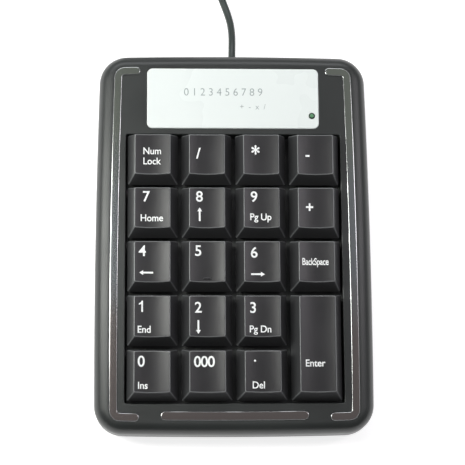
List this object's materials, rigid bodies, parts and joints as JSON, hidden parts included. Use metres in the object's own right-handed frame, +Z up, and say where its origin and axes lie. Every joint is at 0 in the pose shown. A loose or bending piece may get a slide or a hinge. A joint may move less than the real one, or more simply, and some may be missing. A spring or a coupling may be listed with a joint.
{
  "type": "numeric keypad",
  "caption": "Wired numeric keypad with a sloping deck of full-height keys, a label plate with a status light, bright trim, and a lead with a rectangular plug.",
  "frame": {"origin": "on the table, under the middle of the case", "axes": "+X to the user's right, +Y away from the user towards the lead, +Z up"},
  "size_m": [0.0982, 0.2074, 0.0306],
  "materials": {
    "case_plastic": "fine satin",
    "key_plastic": "fine satin",
    "bottom_plastic": "satin",
    "plate_plastic": "satin pale",
    "window_plastic": "clear dark green",
    "chrome": "polished",
    "foot_rubber": "matt",
    "screw_steel": "zinc plated",
    "silicone": "matt pale",
    "polyester_film": "thin clear film",
    "backing_steel": "rolled",
    "wire_steel": "drawn",
    "board_laminate": "green solder mask",
    "epoxy": "black drop",
    "can_steel": "drawn can",
    "capacitor_sleeve": "shrunk sleeve",
    "header_plastic": "natural nylon",
    "led_epoxy": "tinted clear",
    "foam_rubber": "soft",
    "wire_insulation": "smooth",
    "lead_jacket": "satin vinyl",
    "tie_plastic": "soft",
    "plug_plastic": "satin vinyl",
    "shell_steel": "nickel plated",
    "tongue_plastic": "plain",
    "contact_brass": "gold flashed"
  },
  "bodies": {
    "case": {"top_case": "case_plastic", "bottom_case": "bottom_plastic", "label_plate": "plate_plastic", "status_window": "window_plastic", "left_trim": "chrome", "right_trim": "chrome", "front_trim": "chrome", "rubber_feet": "foot_rubber", "case_screws": "screw_steel", "dome_sheet": "silicone", "upper_membrane": "polyester_film", "membrane_spacer": "polyester_film", "lower_membrane": "polyester_film", "backing_plate": "backing_steel", "plate_screws": "screw_steel", "controller_board": "board_laminate", "controller_chip": "epoxy", "crystal": "can_steel", "capacitor": "capacitor_sleeve", "wire_header": "header_plastic", "status_led": "led_epoxy", "pressure_strip": "foam_rubber", "board_screws": "screw_steel", "strain_relief": "plug_plastic", "lead_wires": "wire_insulation", "lead": "lead_jacket", "lead_coil": "lead_jacket", "coil_tie": "tie_plastic", "plug_tail": "lead_jacket", "plug_body": "plug_plastic", "plug_shell": "shell_steel", "plug_tongue": "tongue_plastic", "plug_contacts": "contact_brass"},
    "key_num_lock_cap": {"key_num_lock": "key_plastic"},
    "key_divide_cap": {"key_divide": "key_plastic"},
    "key_multiply_cap": {"key_multiply": "key_plastic"},
    "key_minus_cap": {"key_minus": "key_plastic"},
    "key_7_cap": {"key_7": "key_plastic"},
    "key_8_cap": {"key_8": "key_plastic"},
    "key_9_cap": {"key_9": "key_plastic"},
    "key_plus_cap": {"key_plus": "key_plastic"},
    "key_4_cap": {"key_4": "key_plastic"},
    "key_5_cap": {"key_5": "key_plastic"},
    "key_6_cap": {"key_6": "key_plastic"},
    "key_backspace_cap": {"key_backspace": "key_plastic"},
    "key_1_cap": {"key_1": "key_plastic"},
    "key_2_cap": {"key_2": "key_plastic"},
    "key_3_cap": {"key_3": "key_plastic"},
    "key_enter_cap": {"key_enter": "key_plastic"},
    "key_0_cap": {"key_0": "key_plastic"},
    "key_000_cap": {"key_000": "key_plastic"},
    "key_decimal_cap": {"key_decimal": "key_plastic"},
    "stabiliser": {"enter_stabiliser": "wire_steel"}
  },
  "joints": [
    {"name": "key_num_lock_press", "type": "slide", "parent": "case", "child": "key_num_lock_cap", "axis": [0, 0.0785, -0.9969], "range_m": [0, 0.0036], "stiffness_N_per_m": 150, "springref_m": -0.002, "deforming": ["dome_sheet"]},
    {"name": "key_divide_press", "type": "slide", "parent": "case", "child": "key_divide_cap", "axis": [0, 0.0785, -0.9969], "range_m": [0, 0.0036], "stiffness_N_per_m": 150, "springref_m": -0.002, "deforming": ["dome_sheet"]},
    {"name": "key_multiply_press", "type": "slide", "parent": "case", "child": "key_multiply_cap", "axis": [0, 0.0785, -0.9969], "range_m": [0, 0.0036], "stiffness_N_per_m": 150, "springref_m": -0.002, "deforming": ["dome_sheet"]},
    {"name": "key_minus_press", "type": "slide", "parent": "case", "child": "key_minus_cap", "axis": [0, 0.0785, -0.9969], "range_m": [0, 0.0036], "stiffness_N_per_m": 150, "springref_m": -0.002, "deforming": ["dome_sheet"]},
    {"name": "key_7_press", "type": "slide", "parent": "case", "child": "key_7_cap", "axis": [0, 0.0785, -0.9969], "range_m": [0, 0.0036], "stiffness_N_per_m": 150, "springref_m": -0.002, "deforming": ["dome_sheet"]},
    {"name": "key_8_press", "type": "slide", "parent": "case", "child": "key_8_cap", "axis": [0, 0.0785, -0.9969], "range_m": [0, 0.0036], "stiffness_N_per_m": 150, "springref_m": -0.002, "deforming": ["dome_sheet"]},
    {"name": "key_9_press", "type": "slide", "parent": "case", "child": "key_9_cap", "axis": [0, 0.0785, -0.9969], "range_m": [0, 0.0036], "stiffness_N_per_m": 150, "springref_m": -0.002, "deforming": ["dome_sheet"]},
    {"name": "key_plus_press", "type": "slide", "parent": "case", "child": "key_plus_cap", "axis": [0, 0.0785, -0.9969], "range_m": [0, 0.0036], "stiffness_N_per_m": 150, "springref_m": -0.002, "deforming": ["dome_sheet"]},
    {"name": "key_4_press", "type": "slide", "parent": "case", "child": "key_4_cap", "axis": [0, 0.0785, -0.9969], "range_m": [0, 0.0036], "stiffness_N_per_m": 150, "springref_m": -0.002, "deforming": ["dome_sheet"]},
    {"name": "key_5_press", "type": "slide", "parent": "case", "child": "key_5_cap", "axis": [0, 0.0785, -0.9969], "range_m": [0, 0.0036], "stiffness_N_per_m": 150, "springref_m": -0.002, "deforming": ["dome_sheet"]},
    {"name": "key_6_press", "type": "slide", "parent": "case", "child": "key_6_cap", "axis": [0, 0.0785, -0.9969], "range_m": [0, 0.0036], "stiffness_N_per_m": 150, "springref_m": -0.002, "deforming": ["dome_sheet"]},
    {"name": "key_backspace_press", "type": "slide", "parent": "case", "child": "key_backspace_cap", "axis": [0, 0.0785, -0.9969], "range_m": [0, 0.0036], "stiffness_N_per_m": 150, "springref_m": -0.002, "deforming": ["dome_sheet"]},
    {"name": "key_1_press", "type": "slide", "parent": "case", "child": "key_1_cap", "axis": [0, 0.0785, -0.9969], "range_m": [0, 0.0036], "stiffness_N_per_m": 150, "springref_m": -0.002, "deforming": ["dome_sheet"]},
    {"name": "key_2_press", "type": "slide", "parent": "case", "child": "key_2_cap", "axis": [0, 0.0785, -0.9969], "range_m": [0, 0.0036], "stiffness_N_per_m": 150, "springref_m": -0.002, "deforming": ["dome_sheet"]},
    {"name": "key_3_press", "type": "slide", "parent": "case", "child": "key_3_cap", "axis": [0, 0.0785, -0.9969], "range_m": [0, 0.0036], "stiffness_N_per_m": 150, "springref_m": -0.002, "deforming": ["dome_sheet"]},
    {"name": "key_enter_press", "type": "slide", "parent": "case", "child": "key_enter_cap", "axis": [0, 0.0785, -0.9969], "range_m": [0, 0.0036], "stiffness_N_per_m": 150, "springref_m": -0.002, "deforming": ["dome_sheet"]},
    {"name": "key_0_press", "type": "slide", "parent": "case", "child": "key_0_cap", "axis": [0, 0.0785, -0.9969], "range_m": [0, 0.0036], "stiffness_N_per_m": 150, "springref_m": -0.002, "deforming": ["dome_sheet"]},
    {"name": "key_000_press", "type": "slide", "parent": "case", "child": "key_000_cap", "axis": [0, 0.0785, -0.9969], "range_m": [0, 0.0036], "stiffness_N_per_m": 150, "springref_m": -0.002, "deforming": ["dome_sheet"]},
    {"name": "key_decimal_press", "type": "slide", "parent": "case", "child": "key_decimal_cap", "axis": [0, 0.0785, -0.9969], "range_m": [0, 0.0036], "stiffness_N_per_m": 150, "springref_m": -0.002, "deforming": ["dome_sheet"]},
    {"name": "stabiliser_turn", "type": "hinge", "parent": "key_enter_cap", "child": "stabiliser", "pos_m": [0.03417, -0.03808, 0.01853], "axis": [0, 0.9969, 0.0785], "range_deg": [0, 26]}
  ],
  "couplings": [
    {"joint": "stabiliser_turn", "follows": "key_enter_press", "rad_per_m": 124.5}
  ]
}
